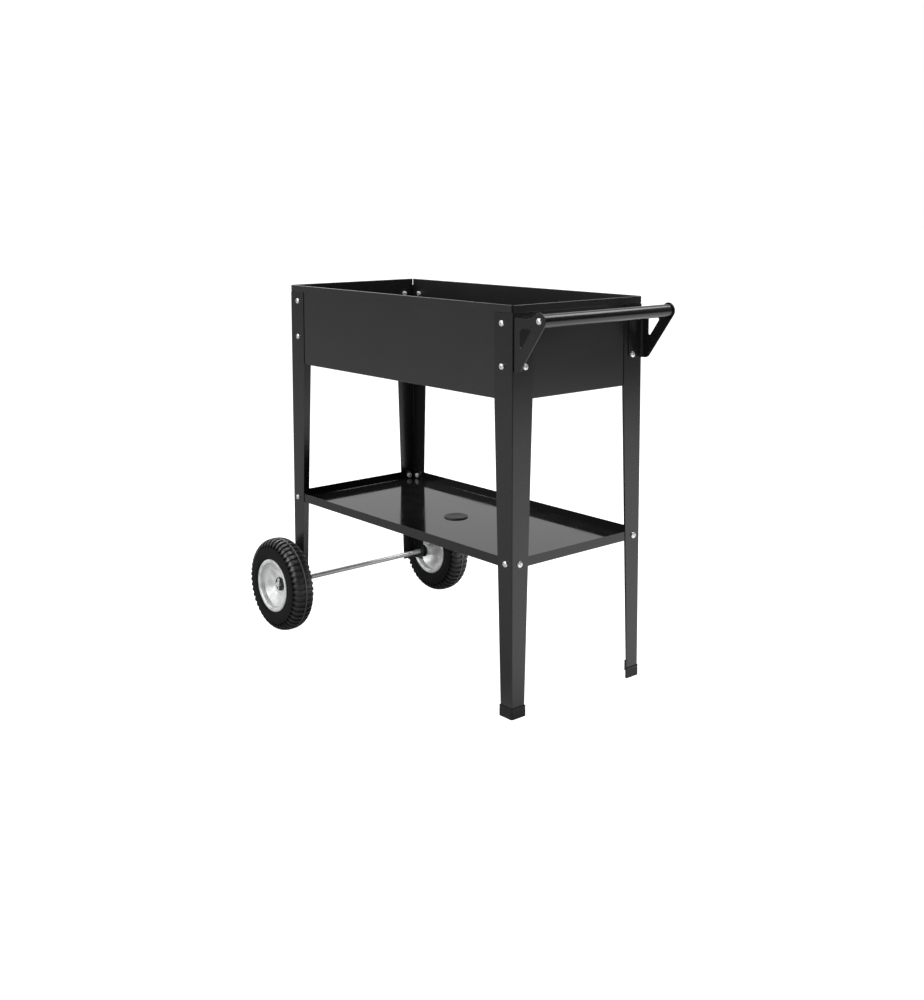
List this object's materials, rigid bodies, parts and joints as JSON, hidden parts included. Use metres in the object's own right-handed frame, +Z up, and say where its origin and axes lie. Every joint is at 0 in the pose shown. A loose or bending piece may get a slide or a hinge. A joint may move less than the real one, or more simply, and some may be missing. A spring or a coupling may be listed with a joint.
{
  "type": "raised planter trolley",
  "caption": "Sheet-steel planter bin on tapered angle legs, with a shelf tray below, wheels at one end and a push handle at the other.",
  "frame": {"origin": "centre of the bounding box, at floor level", "axes": "+X along the bin towards the handle, +Y across it, +Z up"},
  "size_m": [0.932, 0.5164, 0.8],
  "materials": {
    "bin_coat": "black powder coat, semi-gloss",
    "leg_coat": "black powder coat, semi-gloss",
    "shelf_coat": "black powder coat, glossy",
    "handle_coat": "black powder coat, glossy",
    "screw_zinc": "bright zinc plate",
    "nut_zinc": "bright zinc plate",
    "insert_plastic": "matte",
    "axle_steel": "drawn bright bar",
    "spacer_plastic": "matte",
    "washer_steel": "black oxide",
    "foot_rubber": "moulded, matte",
    "plug_rubber": "moulded, satin",
    "tyre_rubber": "moulded, matte",
    "rim_steel": "bright zinc plate on pressed steel",
    "bush_plastic": "moulded nylon"
  },
  "bodies": {
    "frame": {"front_panel": "bin_coat", "back_panel": "bin_coat", "handle_end_panel": "bin_coat", "wheel_end_panel": "bin_coat", "bin_floor": "bin_coat", "front_handle_leg": "leg_coat", "back_handle_leg": "leg_coat", "front_wheel_leg": "leg_coat", "back_wheel_leg": "leg_coat", "front_foot": "foot_rubber", "back_foot": "foot_rubber", "shelf_tray": "shelf_coat", "front_bracket": "leg_coat", "back_bracket": "leg_coat", "handle_tube": "handle_coat", "handle_inserts": "insert_plastic", "handle_screws": "screw_zinc", "bin_screws": "screw_zinc", "bin_nuts": "nut_zinc", "shelf_screws": "screw_zinc", "shelf_nuts": "nut_zinc", "axle": "axle_steel", "axle_spacers": "spacer_plastic", "axle_washers": "washer_steel", "split_pins": "nut_zinc"},
    "front_wheel": {"front_tyre": "tyre_rubber", "front_rim_outer": "rim_steel", "front_rim_inner": "rim_steel", "front_hub_tube": "rim_steel", "front_bush_outer": "bush_plastic", "front_bush_inner": "bush_plastic"},
    "back_wheel": {"back_tyre": "tyre_rubber", "back_rim_outer": "rim_steel", "back_rim_inner": "rim_steel", "back_hub_tube": "rim_steel", "back_bush_outer": "bush_plastic", "back_bush_inner": "bush_plastic"},
    "floor_bung": {"floor_plug": "plug_rubber"},
    "shelf_bung": {"shelf_plug": "plug_rubber"}
  },
  "joints": [
    {"name": "front_wheel_spin", "type": "hinge", "parent": "frame", "child": "front_wheel", "pos_m": [-0.359, -0.231, 0.107], "axis": [0, 1, 0], "continuous": true},
    {"name": "back_wheel_spin", "type": "hinge", "parent": "frame", "child": "back_wheel", "pos_m": [-0.359, 0.231, 0.107], "axis": [0, 1, 0], "continuous": true},
    {"name": "floor_plug_pull", "type": "slide", "parent": "frame", "child": "floor_bung", "axis": [0, 0, 1], "range_m": [0, 0.06]},
    {"name": "shelf_plug_pull", "type": "slide", "parent": "frame", "child": "shelf_bung", "axis": [0, 0, 1], "range_m": [0, 0.06]}
  ]
}
